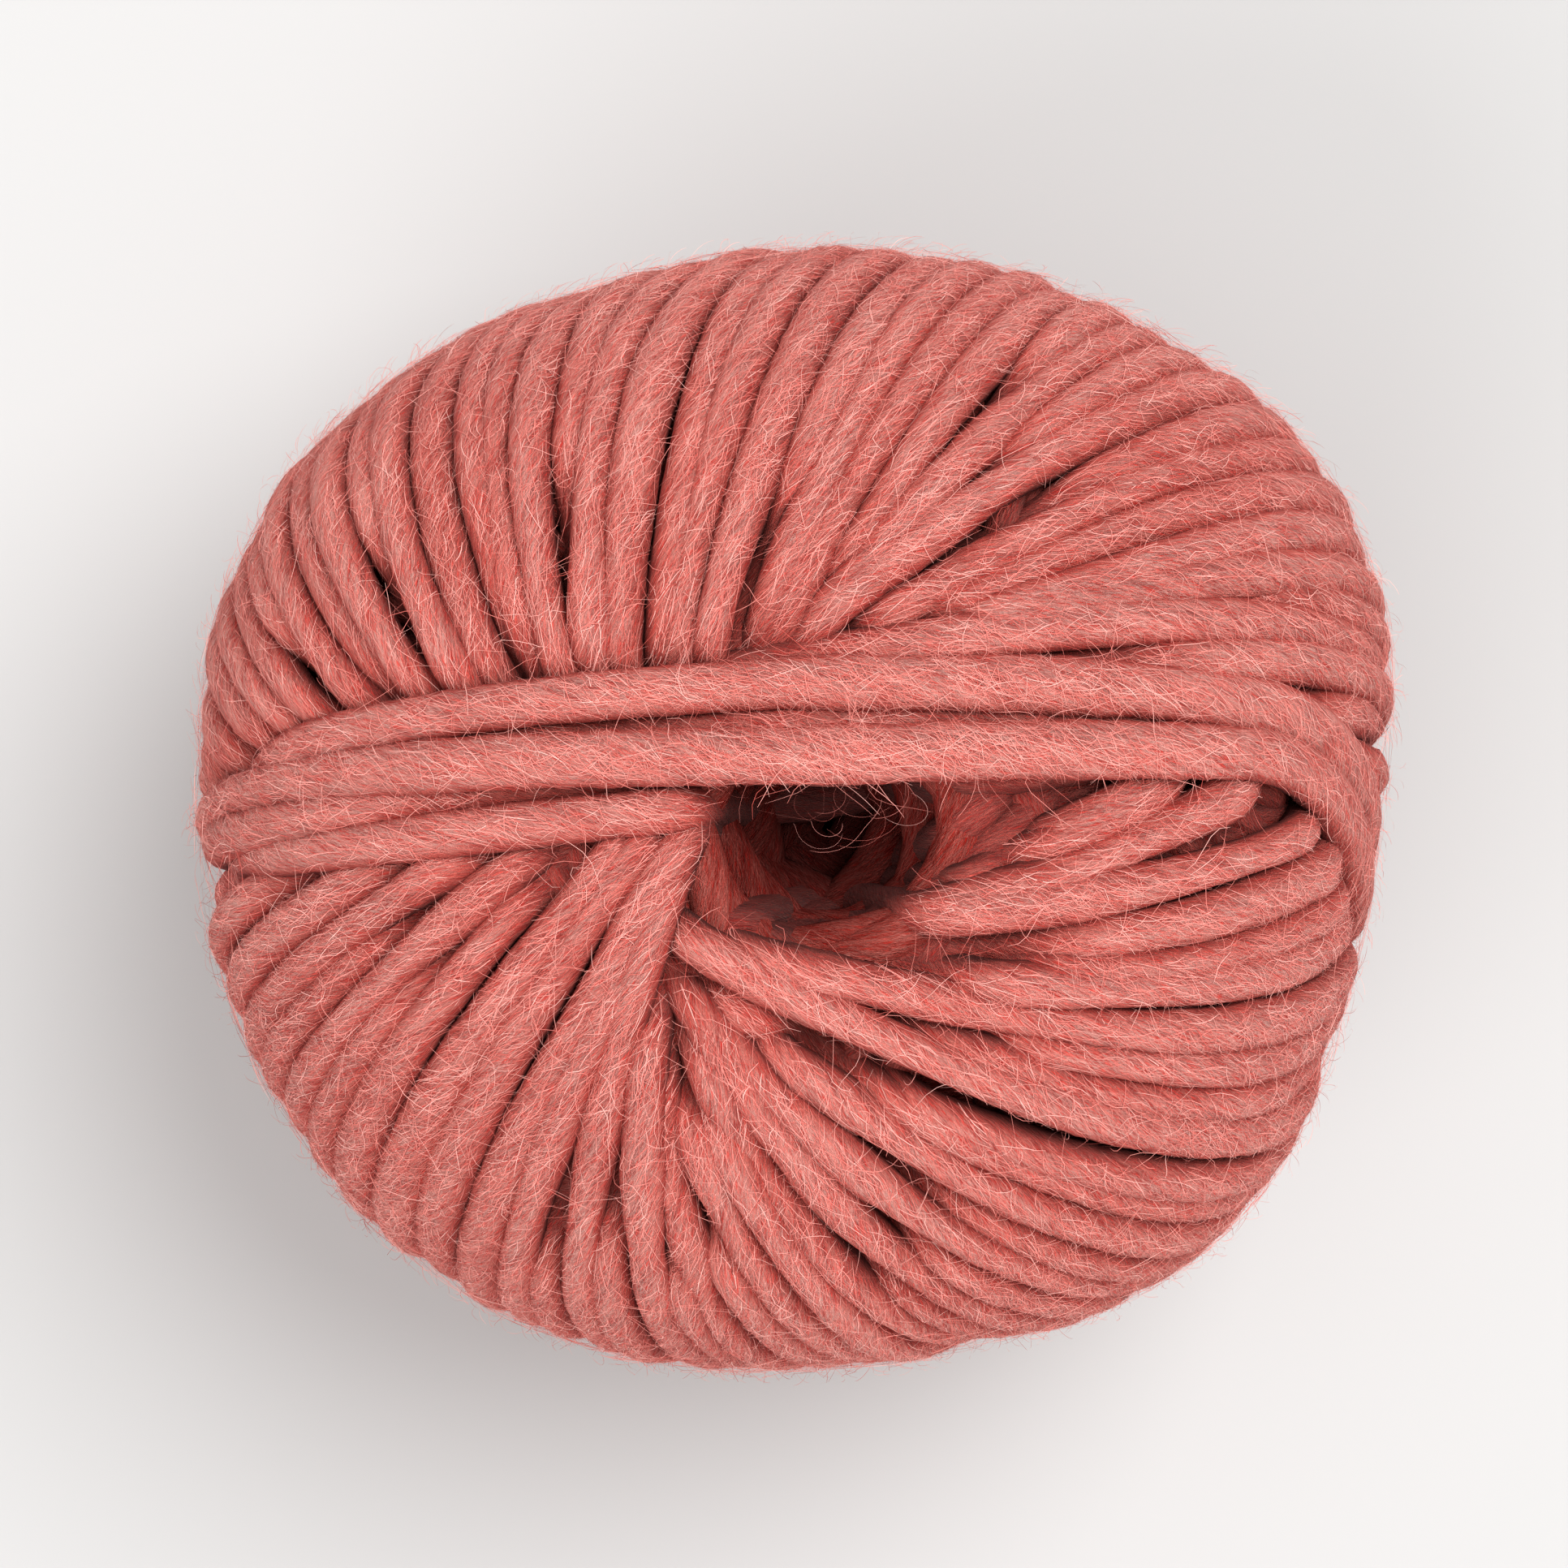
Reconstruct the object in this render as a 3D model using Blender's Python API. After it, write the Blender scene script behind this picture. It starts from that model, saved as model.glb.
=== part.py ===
"""Ball of bulky single-ply wool, wound turn by turn round a pull hole.

Metres, +Z up. The ball lies on the small flat of its base, centred on the origin, with the pull
hole in its crown and the last turns crossing just beside the hole along +X. Blender 4.5.
"""

import math
from collections import namedtuple

import bmesh
import bpy

# The wound form
WIDTH = 0.1370  # along X, along the last turns
DEPTH = 0.1335  # along Y
HEIGHT = 0.1035  # of the crown, before the last turns are added
EQUATOR_HEIGHT = 0.0500  # of the widest ring
FLAT_RADIUS = 0.0200  # of the flat spot that the ball lies on
FULLNESS = 0.94  # of the side arcs: 1 is an ellipse, less is fuller

# The pull hole, an oval well left by the winding
HOLE_CENTRE = (0.0045, -0.0045)
HOLE_HALF_WIDTH = 0.0140
HOLE_HALF_DEPTH = 0.0090
LIP_RADIUS = 0.0060  # of the rounded edge that the turns make
CREST_RADIUS = HOLE_HALF_WIDTH + LIP_RADIUS  # of the crown's highest ring
WELL_DEPTH = 0.0320
WELL_TAPER = 0.75  # of the well's width, from its lip to its floor

# The winding: every turn is a loop that passes the hole at this distance from the ball's axis
PASS_DISTANCE = 0.0200
TWIST_STEP = math.radians(20)  # between one bundle of turns and the next
TWIST_HEIGHT = 0.0014  # of the bundles over the grooves between them
TWIST_FADE = 0.0180  # over which the bundles flatten out towards the hole
RELIEF_START = 0.0015  # height at which the yarn starts to stand out above the flat spot
RELIEF_RISE = 0.0120

# The last turns, a raised bundle that crosses the crown beside the hole
BAND_OFFSET = 0.0095  # of its middle from the ball's axis, along Y
BAND_HALF_WIDTH = 0.0075
BAND_HEIGHT = 0.0024

# How the outline seen from above differs from an oval, as waves round the ball
Wave = namedtuple("Wave", "count height crest")
OUTLINE = (
    Wave(count=3, height=0.0009, crest=math.radians(41)),
    Wave(count=4, height=0.0014, crest=math.radians(45)),
    Wave(count=5, height=0.0007, crest=math.radians(24)),
)

# Mesh density
AZIMUTH_STEPS = 108
LOWER_STEPS = 12
UPPER_STEPS = 14
LIP_STEPS = 4
WALL_STEPS = 3
FLOOR_STEPS = 2

# The wool
WOOL_COLOUR = (0.61, 0.135, 0.105, 1.0)
WOOL_ROUGHNESS = 0.95


def clear_scene():
    for item in list(bpy.data.objects):
        bpy.data.objects.remove(item, do_unlink=True)


def smooth_step(value):
    """0 below 0, 1 above 1, and a soft rise between."""
    clipped = min(max(value, 0.0), 1.0)
    return clipped * clipped * (3 - 2 * clipped)


def quarter(steps, first=0):
    """The angles of a quarter turn, in equal steps."""
    return [0.5 * math.pi * step / steps for step in range(first, steps + 1)]


def side_rings():
    """(radius, height) of each ring from the flat spot up to the crown, for a round ball."""
    half_width = 0.5 * WIDTH
    lower = [
        (
            FLAT_RADIUS + (half_width - FLAT_RADIUS) * math.sin(angle) ** FULLNESS,
            EQUATOR_HEIGHT * (1 - math.cos(angle) ** FULLNESS),
        )
        for angle in quarter(LOWER_STEPS)
    ]
    upper = [
        (
            CREST_RADIUS + (half_width - CREST_RADIUS) * max(math.cos(angle), 0.0) ** FULLNESS,
            EQUATOR_HEIGHT + (HEIGHT - EQUATOR_HEIGHT) * math.sin(angle) ** FULLNESS,
        )
        for angle in quarter(UPPER_STEPS, first=1)
    ]
    return lower + upper


def well_rings():
    """(share of the hole's size, extra radius, height) of each ring from the lip to the floor."""
    lip = [
        (1.0, LIP_RADIUS * (1 - math.sin(angle)), HEIGHT - LIP_RADIUS * (1 - math.cos(angle)))
        for angle in quarter(LIP_STEPS, first=1)
    ]
    wall = []
    for step in range(1, WALL_STEPS + 1):
        share = step / WALL_STEPS
        depth = LIP_RADIUS + share * (WELL_DEPTH - LIP_RADIUS)
        wall.append((1.0 + share * (WELL_TAPER - 1.0), 0.0, HEIGHT - depth))
    floor = [
        (WELL_TAPER * (1 - step / (FLOOR_STEPS + 1)), 0.0, HEIGHT - WELL_DEPTH)
        for step in range(1, FLOOR_STEPS + 1)
    ]
    return lip + wall + floor


def outline_offset(azimuth):
    """How far the outline stands out from the oval at this azimuth."""
    return sum(wave.height * math.cos(wave.count * (azimuth - wave.crest)) for wave in OUTLINE)


def sweep(x, y, z):
    """How far round the axis a turn has swung here from where it crosses the widest ring."""
    rise = (z - EQUATOR_HEIGHT) * PASS_DISTANCE / (HEIGHT - EQUATOR_HEIGHT)
    return math.asin(min(max(rise / max(math.hypot(x, y), PASS_DISTANCE), -1.0), 1.0))


def twist_height(x, y, z):
    """Height of the bundles of turns: both halves of the ball show the halves of the same loops."""
    azimuth = math.atan2(y, x)
    swung = sweep(x, y, z)
    start = azimuth - swung if azimuth > 0 else azimuth + math.pi + swung
    return TWIST_HEIGHT * (abs(math.cos(math.pi * start / TWIST_STEP)) - 0.5)


def band_height(y, z):
    """Height of the last turns, which lie along one tilted loop right round the ball."""
    tilt = math.atan2(BAND_OFFSET, HEIGHT - EQUATOR_HEIGHT)
    aside = y * math.cos(tilt) - (z - EQUATOR_HEIGHT) * math.sin(tilt)
    return BAND_HEIGHT * math.exp(-((aside / BAND_HALF_WIDTH) ** 2))


def relief(x, y, z):
    """How far the yarn stands out here: not on the flat spot, and smooth where turns crowd at the hole."""
    above_flat = smooth_step((z - RELIEF_START) / RELIEF_RISE)
    from_hole = math.hypot(x - HOLE_CENTRE[0], y - HOLE_CENTRE[1]) - HOLE_HALF_WIDTH
    clear_of_hole = 1.0 if z < EQUATOR_HEIGHT else smooth_step(from_hole / TWIST_FADE)
    return above_flat * (clear_of_hole * twist_height(x, y, z) + band_height(y, z))


def side_point(radius, z, azimuth):
    """A point of the outer form, with the relief of the winding pushed out from the axis."""
    across = radius / (0.5 * WIDTH)
    reach = radius + outline_offset(azimuth) * across**2
    x = reach * math.cos(azimuth)
    y = reach * math.sin(azimuth) * (1 + (DEPTH / WIDTH - 1) * smooth_step(across))
    outward = (radius - CREST_RADIUS) / (0.5 * WIDTH - CREST_RADIUS)
    inward = smooth_step(1 - outward) if z > EQUATOR_HEIGHT else 0.0
    x += HOLE_CENTRE[0] * inward
    y += HOLE_CENTRE[1] * inward
    y -= (HOLE_HALF_WIDTH - HOLE_HALF_DEPTH) * inward * math.sin(azimuth)
    height = relief(x, y, z)
    slope = math.atan2((z - EQUATOR_HEIGHT) / (0.5 * HEIGHT), across)
    push = height * math.cos(slope)
    return (
        x + push * math.cos(azimuth),
        y + push * math.sin(azimuth),
        z + height * math.sin(slope),
    )


def well_point(share, extra, z, azimuth):
    """A point of the well's lip, wall or floor."""
    x = HOLE_CENTRE[0] + (share * HOLE_HALF_WIDTH + extra) * math.cos(azimuth)
    y = HOLE_CENTRE[1] + (share * HOLE_HALF_DEPTH + extra) * math.sin(azimuth)
    near_lip = smooth_step(1 - (HEIGHT - z) / LIP_RADIUS)
    return (x, y, z + near_lip * relief(x, y, z))


def azimuths():
    return [2 * math.pi * step / AZIMUTH_STEPS for step in range(AZIMUTH_STEPS)]


def add_ring(mesh, points):
    return [mesh.verts.new(point) for point in points]


def close_ring(mesh, ring, centre, upward):
    """A fan from a ring to one point at its middle."""
    tip = mesh.verts.new(centre)
    for first, second in zip(ring, ring[1:] + ring[:1]):
        mesh.faces.new((first, second, tip) if upward else (second, first, tip))


def bridge(mesh, lower, upper):
    for step, corner in enumerate(lower):
        after = (step + 1) % len(lower)
        mesh.faces.new((corner, lower[after], upper[after], upper[step]))


def centre_on_axis(mesh):
    """Moves the mesh sideways, so that its box is centred over the origin."""
    for axis in (0, 1):
        places = [corner.co[axis] for corner in mesh.verts]
        middle = 0.5 * (min(places) + max(places))
        for corner in mesh.verts:
            corner.co[axis] -= middle


def ball_mesh():
    """One closed surface: flat spot, sides, crown, lip, well wall and well floor."""
    mesh = bmesh.new()
    rings = [
        add_ring(mesh, [side_point(radius, z, azimuth) for azimuth in azimuths()])
        for radius, z in side_rings()
    ]
    rings += [
        add_ring(mesh, [well_point(share, extra, z, azimuth) for azimuth in azimuths()])
        for share, extra, z in well_rings()
    ]
    close_ring(mesh, rings[0], (0.0, 0.0, 0.0), upward=False)
    for lower, upper in zip(rings, rings[1:]):
        bridge(mesh, lower, upper)
    close_ring(mesh, rings[-1], (*HOLE_CENTRE, HEIGHT - WELL_DEPTH), upward=True)
    centre_on_axis(mesh)
    data = bpy.data.meshes.new("yarn_ball")
    mesh.to_mesh(data)
    mesh.free()
    data.polygons.foreach_set("use_smooth", [True] * len(data.polygons))
    return data


def wool():
    material = bpy.data.materials.new("wool")
    material.use_nodes = True
    shader = material.node_tree.nodes["Principled BSDF"]
    shader.inputs["Base Color"].default_value = WOOL_COLOUR
    shader.inputs["Roughness"].default_value = WOOL_ROUGHNESS
    shader.inputs["Metallic"].default_value = 0.0
    return material


def main():
    clear_scene()
    data = ball_mesh()
    data.materials.append(wool())
    ball = bpy.data.objects.new("yarn_ball", data)
    bpy.context.scene.collection.objects.link(ball)


main()
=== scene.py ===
"""Looks of the ball of yarn: one soft single-ply strand, wound turn by turn, and its loose fibres.

Lengths are in millimetres until build_mesh turns them into metres. +Z is up and +X lies along the last
turns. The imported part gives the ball's size. Each turn dips under the later turns that cross it, and the
wool's loose fibres are grown from the stretches that show.
"""

import math
from collections import namedtuple

import bpy
import numpy as np
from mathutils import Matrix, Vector, kdtree


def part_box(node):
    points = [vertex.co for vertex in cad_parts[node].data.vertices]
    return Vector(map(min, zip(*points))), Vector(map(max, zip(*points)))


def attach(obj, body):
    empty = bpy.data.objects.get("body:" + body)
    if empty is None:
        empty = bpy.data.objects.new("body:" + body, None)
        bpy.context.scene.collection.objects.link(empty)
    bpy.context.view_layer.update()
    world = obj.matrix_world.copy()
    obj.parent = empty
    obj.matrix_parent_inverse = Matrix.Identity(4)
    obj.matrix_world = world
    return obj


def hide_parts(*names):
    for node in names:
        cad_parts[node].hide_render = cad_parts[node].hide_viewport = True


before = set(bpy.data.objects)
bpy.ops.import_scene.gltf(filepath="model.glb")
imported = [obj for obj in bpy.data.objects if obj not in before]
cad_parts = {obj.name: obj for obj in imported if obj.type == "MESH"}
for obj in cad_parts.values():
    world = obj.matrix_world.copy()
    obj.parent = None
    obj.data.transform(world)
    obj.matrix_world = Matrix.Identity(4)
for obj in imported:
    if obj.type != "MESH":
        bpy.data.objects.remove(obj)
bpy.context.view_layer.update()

MM = 0.001
rng = np.random.default_rng(20)

# ---------------------------------------------------------------------------- the ball, from the frame
LOW, HIGH = (np.array(corner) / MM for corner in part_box("yarn_ball"))
HALF_X, HALF_Y = 0.5 * (HIGH - LOW)[:2]
EQUATOR_SHARE = 0.475  # height of the widest ring, as a share of the whole
CENTRE = np.array([0.0, 0.0, EQUATOR_SHARE * HIGH[2]])
CROWN_SINK = 2.0  # the last turns rise this far above the rest of the crown
UPPER_HALF = HIGH[2] - CENTRE[2] - CROWN_SINK
LOWER_HALF = 1.03 * CENTRE[2]  # reaches below the floor, which cuts the flat spot
FULLNESS = 2.35  # exponent of the side profile: 2 is an ellipse, more is fuller
FLOOR_GAP = 0.02  # of the wool that lies on the floor

# How the outline seen from above differs from an oval, as waves round the ball
Wave = namedtuple("Wave", "count height crest")
OUTLINE = (
    Wave(1, 0.6, math.radians(318)),
    Wave(2, 0.6, math.radians(43)),
    Wave(3, 1.1, math.radians(41)),
    Wave(4, 1.4, math.radians(45)),
    Wave(5, 0.7, math.radians(24)),
    Wave(6, 0.6, math.radians(21)),
)

# ---------------------------------------------------------------------------- the winding
# A turn's phase is the direction in degrees in which it crosses the crown, and it passes the ball's
# axis on its left at the distance. The drifts are how far it slips round past its left- and right-hand
# rims, in degrees. Its width is a share of the strand's own, and its lift is how far it stands up on the
# crown.
Turn = namedtuple("Turn", "phase distance left_drift right_drift width lift")
FAN_TURNS = 80  # one after the other round the crown, before the last turns
LAST_FAN_PHASE = 19.5
PHASE_STEP = 4.7  # from one turn of the fan to the next
PASSES = (  # (phase, distance) of the turns of the fan
    (0, 9.0),
    (15, 10.5),
    (25, 12.5),
    (44, 13.0),
    (53, 10.5),
    (58, 8.5),
    (64, 9.5),
    (80, 13.0),
    (85, 15.0),
    (92, 17.3),
    (100, 19.8),
    (110, 21.5),
    (130, 24.0),
    (146, 22.5),
    (165, 18.0),
    (185, 15.5),
    (225, 17.0),
    (250, 17.5),
    (290, 17.5),
    (330, 15.0),
    (360, 12.0),
    (420, 10.0),
)
PHASE_SCATTER = 0.5
DISTANCE_SCATTER = ((90, 0.6), (120, 1.0))  # (phase, scatter)
WIDTH_SCATTER = 0.05
LIFT_SCATTER = 0.25
LAST_TURNS = (
    Turn(15.0, 13.0, 0.0, 0.0, 1.05, 0.2),
    Turn(12.0, 15.8, 0.0, 0.0, 1.08, 0.4),
    Turn(7.7, 1.5, 0.0, -1.8, 1.10, 0.3),
    Turn(10.2, 11.3, 0.0, 0.0, 1.05, 0.5),
    Turn(7.0, 0.5, -2.0, -4.0, 1.05, 0.4),
    Turn(5.0, 5.5, 0.0, -6.0, 1.00, 0.6),
    Turn(1.5, 8.5, 0.0, -8.0, 1.00, 1.0),
    Turn(2.2, 13.4, 2.5, -9.0, 1.12, 1.2),
    Turn(1.8, 5.2, 0.0, -14.0, 1.18, 1.7),
)
BRIDGING_TURNS = 3  # at the very end, which cross the rim of the pull hole without falling in
SLIP_START = 0.9  # radians from the crown at which a turn starts to slip round,
SLIP_RISE = 0.7  # over which it does,
SLIP_END = 3.2  # and at which it is back in place under the ball
SLIP_FALL = 1.0
CROWN_REACH = 1.6  # radians from the crown at which a turn's lift has gone

SAMPLES_PER_TURN = 270
SURFACE_POINTS = 70000
COVER_LAG = 90  # samples after which a later stretch of the strand counts as lying over this one
NEIGHBOURS = 3.5  # turns that lie beside a turn of the fan, and overlap it like shingles
LAST_NEIGHBOURS = 0.3  # the same for the last turns
MIDDLE_SHARE = 0.5  # of a strand's half width that counts as its middle,
EDGE_SHARE = 0.2  # and beyond which its edges start
DIVE = 4.2  # how far a turn goes down under the turns that cross it
LAST_DIVE = 2.4  # the same for the last turns
DIVE_GAIN = 1.25  # a turn is all the way down before quite all of its middle is crossed
DIVE_REACH = 3  # samples over which it dips
SHORT_RISE = 6  # samples; a turn stays down between two crossings nearer than twice this
BURIED_DEPTH = 3.0  # a stretch under crossing turns by more than this is left out,
BURIED_SHARE = 0.3  # if less than this share of it would show
TUCK = 0.6  # how far it goes down under its neighbours
LEAN = math.radians(26)  # of a turn that is covered along one side only
HAIRY_DEPTH = 2.2  # a stretch deeper than this grows no loose fibres

PINCH_START = 3.3  # spacing of the turns at which every second one starts to be squeezed down
PINCH_END = 2.5
PINCH_DEPTH = 4.4
PINCH_RANKS = 3  # where turns crowd, every second one goes under, then every second of those left
COVERING_PINCH = 0.4  # a turn that is squeezed down by more than this share covers nothing
ROOM_SHARE = 0.58  # of the spacing of the turns, which a turn's half width fills at most
NARROWEST = 0.72  # share of its own width that a turn keeps where it is crowded,
WIDEST = 1.28  # and to which it flattens out where it has room
CROWDING_REACH = 6  # samples over which the crowding is evened out

# ---------------------------------------------------------------------------- the pull hole
HOLE_CENTRE = np.array([3.5, -2.5])
HOLE_RIM = 15.5  # distance from its centre at which turns start to fall into the hole
HOLE_LIP = 5.0  # over which they fall
FUNNEL = 19.0  # how far they fall
WELL_RADIUS = 23.0  # of the dip in the wool under the turns
WELL_DEPTH = 34.0
WELL_FLAT = 0.5  # share of its radius that is flat
CORE_DEPTH = 7.0  # of the plain wool under the turns
CORE_RINGS = 72
CORE_STEPS = 120
CORE_CELL = 2.5  # size of one face in the fibre pattern
CORE_FLOOR_GAP = 0.6
POLE_GAP = 0.001  # radians between the poles and the first and last rings

# Short stretches that line the hole; a layer's depth is from the outer form
Layer = namedtuple("Layer", "depth distance first_phase turns")
INNER_LAYERS = (
    Layer(8.0, 17.0, 10.0, 26),
    Layer(14.0, 16.5, 35.0, 22),
    Layer(21.0, 13.5, 0.0, 18),
    Layer(27.0, 7.5, 12.0, 14),
)
INNER_REACH = 18  # samples either side of the crown
INNER_SPAN = 0.42  # radians either side of the crown
INNER_SHIFT_SPAN = 0.6  # radians from the crown at which they no longer shift towards the hole
INNER_PHASE_SCATTER = 2.0
INNER_DISTANCE_SCATTER = 0.8
INNER_PLACE_SCATTER = 0.5
INNER_SIZE_SCATTER = 0.06
INNER_FIBRE_STEP = 100  # between two stretches, along the fibre pattern

# ---------------------------------------------------------------------------- the strand
STRAND_HALF_WIDTH = 2.7
STRAND_HALF_HEIGHT = 2.5
RandomWave = namedtuple("RandomWave", "height length seed")  # the length is in samples
SWELLS = (RandomWave(0.06, 18, 5), RandomWave(0.025, 5, 6))  # their heights are shares of the width
UNEVENNESS = RandomWave(0.35, 14, 9)  # of the strand's height
REST_SHARE = 0.55  # of the half height that is left between the floor and a turn's middle line
SIDES = 14
TOP_BIAS = 0.45  # crowds the corners of the section towards its outer side
FIBRE_ANGLE = math.radians(25)  # of the fibres to the strand, a Z twist
BUNDLES = ((2, 0.020), (3, 0.016), (5, 0.012))  # (ridges round the strand, height as a share)
BUNDLE_FADE = 0.6  # share by which a ridge swells and fades along the strand,
BUNDLE_FADE_LENGTH = 7.0  # and over about which length
BUNDLE_WANDER_LENGTH = 23.0
# Painted shade: the sides of a strand are painted darker than its top, as if they lay deeper in the wool
SIDE_SHADE_DEPTH = 4.5  # how much deeper in the wool the sides of a strand count than its top
SIDE_SHADE_POWER = 1.5
END_SINK = 2.6  # how far a stretch that shows goes down at its ends
END_REACH = 6  # samples over which it does
TAPER_REACH = 2.5  # samples over which its ends close
TAPER_START = 0.15
TAPER_LEAST = 0.05
RUN_MARGIN = 5  # samples added at each end of a stretch that shows
SHORTEST_RUN = 3
TURN_PIECES = ("turns_first", "turns_middle", "turns_last")

# ---------------------------------------------------------------------------- loose fibres
# Widths and lengths are of one fibre, and the spread is of its direction in degrees. It hovers over the
# strand, and rises and curls by as much as is said here.
Fibres = namedtuple(
    "Fibres", "count rows shortest longest width spread hover rise curl", defaults=(0.0,)
)
LYING_FIBRES = Fibres(30000, 4, 2.0, 5.5, 0.075, 22.0, 0.05, 0.25)
LIFTED_FIBRES = Fibres(27000, 4, 2.5, 6.5, 0.060, 35.0, 0.08, 0.5)
STANDING_FIBRES = Fibres(9000, 6, 1.5, 4.5, 0.036, 60.0, 0.0, 2.2, 0.5)
CROSSING_FIBRES = Fibres(10000, 6, 3.5, 9.0, 0.040, 180.0, 0.08, 0.7, 1.0)
ROOT_SHARE = 0.97  # of the strand's half width, within which fibres grow
HOVER_RANGE = (0.4, 2.0)  # as shares of the hover
FOLLOWING_BEND = 14  # degrees by which a fibre that follows the twist bends
LIFT_RANGE = (0.15, 1.0)  # as shares of the rise
LIFT_POWER = 0.8
CURL_WAVE = 4.0  # radians of a curl's wave along one fibre
ROOT_GAP_LOSS = 0.6  # share of the root's height over the outer form that is lost by the tip

# Long thin fibres that arch across the hole: (least, most) of each measure
HOLE_CURLS = 11
HOLE_CURL_ROWS = 16
HOLE_CURL_WIDTH = 0.022
HOLE_CURL_SPAN = (1.5, 4.0)  # radians
HOLE_CURL_START = (math.pi, 2 * math.pi)
HOLE_CURL_BEND = (-0.5, 0.5)  # share by which the radius changes
HOLE_CURL_RADIUS = (1.8, 5.5)
HOLE_CURL_X = (-4.0, 7.5)  # from the hole's centre
HOLE_CURL_Y = (0.5, 4.0)
HOLE_CURL_DROP = (3.5, 10.0)  # below the ball's highest point
HOLE_CURL_SQUASH = 0.8  # of the arcs along Y
HOLE_CURL_RIPPLE = 1.5  # up and down

RIBBON_SIDES = 2
TUBE_SIDES = 3
TUBE_TURN = 0.5  # radians by which a tube's first corner is turned
TIP_REACH = 1.5  # rows over which a fibre's ends get thin
TIP_LEAST = 0.2
WIDTH_RANGE = (0.6, 1.3)  # as shares of the width
TONE_MIDDLE = 0.5
TONE_SPREAD = 0.28

# ---------------------------------------------------------------------------- wool
DEEP_WOOL = (0.54, 0.040, 0.028, 1)
MID_WOOL = (0.89, 0.092, 0.068, 1)
PALE_WOOL = (1.0, 0.280, 0.228, 1)
WOOL_STOPS = ((0.44, DEEP_WOOL), (0.50, MID_WOOL), (0.56, PALE_WOOL))
HAIR_TINT = (1.0, 0.46, 0.39, 1)
STREAK_SCALE = (0.16, 5.0)  # of a pattern (along, across) the fibres
LOCK_SCALE = (0.06, 1.1)
FINE_SCALE = (0.3, 9.0)
CLOUD_SCALE = 45.0
HEATHER_MIX = (0.50, 0.40, 0.10)  # of streaks, locks and cloud
BUMP_MIX = (0.5, 0.3, 0.5)  # of streaks, fine grain and hairs
HAIR_LAYERS = (  # (turn from the fibre direction in radians, scale along, scale across)
    (0.0, 0.20, 3.4),
    (0.28, 0.24, 3.0),
    (-0.33, 0.22, 3.2),
)
HAIR_SHARPNESS = 13.0
HAIR_WEIGHT = 0.42
BUMP_HEIGHT = 0.0012  # metres

# Painted shade: the wool's colour darkens and reddens with its depth below the outer form: (share of the
# depth, tint)
PAINTED_SHADE_DEPTH = 9.0
PAINTED_SHADE_STOPS = (
    (0.0, (1.0, 1.0, 1.0, 1)),
    (0.10, (0.95, 0.76, 0.74, 1)),
    (0.22, (0.88, 0.54, 0.50, 1)),
    (0.40, (0.72, 0.34, 0.31, 1)),
    (0.70, (0.40, 0.18, 0.16, 1)),
    (1.0, (0.18, 0.08, 0.07, 1)),
)
# Painted shade, darker and reaching deeper, for the turns that line the pull hole and the plain wool under
# them
HOLE_PAINTED_SHADE_DEPTH = 26.0
HOLE_PAINTED_SHADE_STOPS = (
    (0.0, (0.90, 0.70, 0.68, 1)),
    (0.20, (0.60, 0.34, 0.32, 1)),
    (0.45, (0.36, 0.18, 0.17, 1)),
    (1.0, (0.08, 0.045, 0.045, 1)),
)
FIBRE_STOPS = (  # (tone, colour)
    (0.0, (0.56, 0.09, 0.07, 1)),
    (0.5, (0.78, 0.24, 0.20, 1)),
    (1.0, (0.92, 0.48, 0.42, 1)),
)
WOOL_ROUGHNESS = 0.8
FIBRE_ROUGHNESS = 0.7
SPECULAR = 0.2
# painted shade: the wool in the pull hole gets less specular and sheen
HOLE_SPECULAR = 0.02
SHEEN = 0.05
HOLE_SHEEN = 0.0
SHEEN_ROUGHNESS = 0.5
SHEEN_TINT = (1.0, 0.72, 0.68, 1)

# ---------------------------------------------------------------------------- floor, light and camera
FLOOR_HALF_WIDTH = 4.0  # metres
FLOOR_COLOUR = (0.51, 0.506, 0.501, 1)
FLOOR_ROUGHNESS = 0.9
FLOOR_SPECULAR = 0.2
Light = namedtuple("Light", "name direction spread strength")  # the direction is that it comes from
LIGHTS = (
    Light("key", (0.42, 0.33, 0.83), 0.75, 2.72),
    Light("fill", (-0.55, -0.75, 0.60), 0.90, 1.68),
)
WORLD_COLOUR = (1, 1, 1, 1)
WORLD_STRENGTH = 0.84
SENSOR_WIDTH = 36
CAMERA_PLACE = (-0.0012, 0.0021)  # metres, as the next two
CAMERA_HEIGHT = 0.85  # above the ball's widest ring
FRAME_WIDTH = 0.1819  # of the picture, at the ball's widest ring


# ---------------------------------------------------------------------------- shared sums
def smooth_step(value):
    """0 below 0, 1 above 1, and a soft rise between."""
    clipped = np.clip(value, 0.0, 1.0)
    return clipped * clipped * (3 - 2 * clipped)


def unit(vectors):
    return vectors / np.maximum(np.linalg.norm(vectors, axis=-1, keepdims=True), 1e-12)


def even_out(values, reach):
    kernel = np.hanning(2 * reach + 3)
    padded = np.pad(values, reach + 1, mode="edge")
    return np.convolve(padded, kernel / kernel.sum(), mode="valid")


def random_wave(count, wave):
    """A smooth random wave, with bumps about as high and as long as the wave says."""
    length = wave.length
    noise = np.random.default_rng(wave.seed).normal(size=count + 6 * length)
    kernel = np.hanning(2 * length + 1)
    smooth = np.convolve(noise, kernel / np.linalg.norm(kernel), mode="same")
    return wave.height * smooth[3 * length : 3 * length + count]


def without_short_rises(depth, reach):
    """The depth with every rise shorter than twice the reach levelled off."""
    window = 2 * reach + 1
    padded = np.pad(depth, 2 * reach, mode="edge")
    deepest = np.lib.stride_tricks.sliding_window_view(padded, window).max(axis=1)
    return np.lib.stride_tricks.sliding_window_view(deepest, window).min(axis=1)


def turned_about_z(vectors, angle):
    cosine, sine = np.cos(angle), np.sin(angle)
    x, y, z = vectors.T
    return np.stack([x * cosine - y * sine, x * sine + y * cosine, z], axis=1)


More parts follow.
